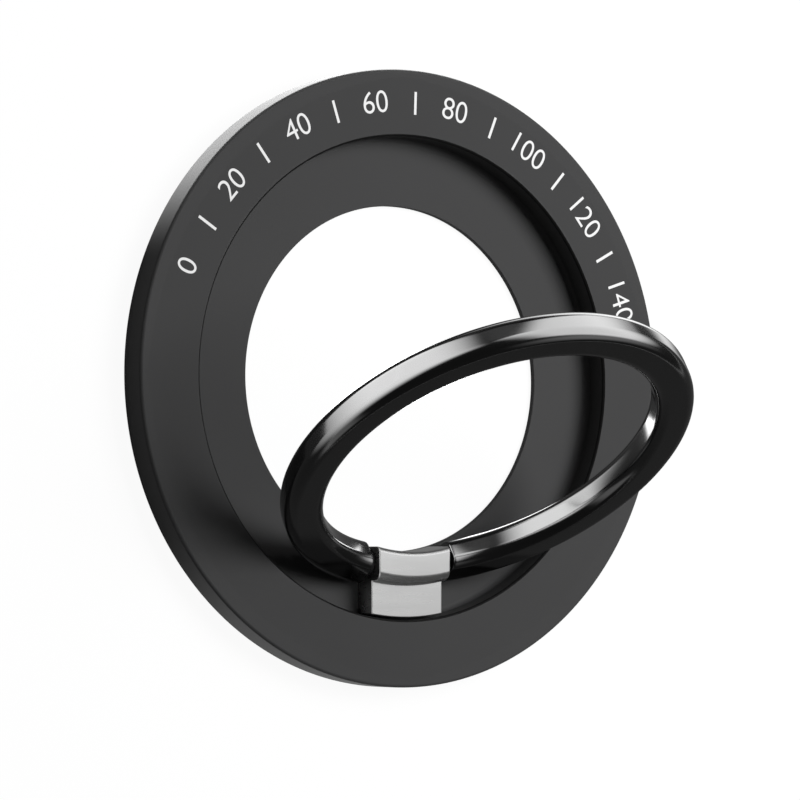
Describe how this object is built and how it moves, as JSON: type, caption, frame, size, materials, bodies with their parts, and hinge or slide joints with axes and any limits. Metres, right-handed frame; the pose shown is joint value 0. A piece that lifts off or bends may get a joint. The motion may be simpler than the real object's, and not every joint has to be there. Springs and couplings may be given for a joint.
{
  "type": "phone ring holder",
  "caption": "Flat magnetic ring plate for the back of a phone, with a finger ring in its recess that folds out on a pinned hinge to hold the phone or prop it up.",
  "frame": {"origin": "centre of the plate on the plane that the grip pad's back face rests on", "axes": "+Z out of the front along the plate's axis, hinge on the -Y side, hinge pin along X"},
  "size_m": [0.0564, 0.0564, 0.0321],
  "materials": {
    "anodised_black": "satin black anodised, bead blasted",
    "ring_black": "polished black plating",
    "hinge_silver": "satin bright metal",
    "pin_steel": "ground steel",
    "washer_nylon": "black nylon",
    "grip_pad": "matt soft silicone",
    "magnet_nickel": "nickel plated"
  },
  "bodies": {
    "plate": {"body": "anodised_black", "magnet_01": "magnet_nickel", "magnet_02": "magnet_nickel", "magnet_03": "magnet_nickel", "magnet_04": "magnet_nickel", "magnet_05": "magnet_nickel", "magnet_06": "magnet_nickel", "magnet_07": "magnet_nickel", "magnet_08": "magnet_nickel", "magnet_09": "magnet_nickel", "magnet_10": "magnet_nickel", "magnet_11": "magnet_nickel", "magnet_12": "magnet_nickel", "magnet_13": "magnet_nickel", "magnet_14": "magnet_nickel", "magnet_15": "magnet_nickel", "magnet_16": "magnet_nickel", "back_pad": "grip_pad", "hinge_block": "hinge_silver"},
    "ring": {"finger_ring": "ring_black", "hinge_pin": "pin_steel", "left_washer": "washer_nylon", "right_washer": "washer_nylon"}
  },
  "joints": [
    {"name": "ring_flip", "type": "hinge", "parent": "plate", "child": "ring", "pos_m": [0, -0.01675, 0.0022], "axis": [1, 0, 0], "range_deg": [-55, 35]}
  ]
}
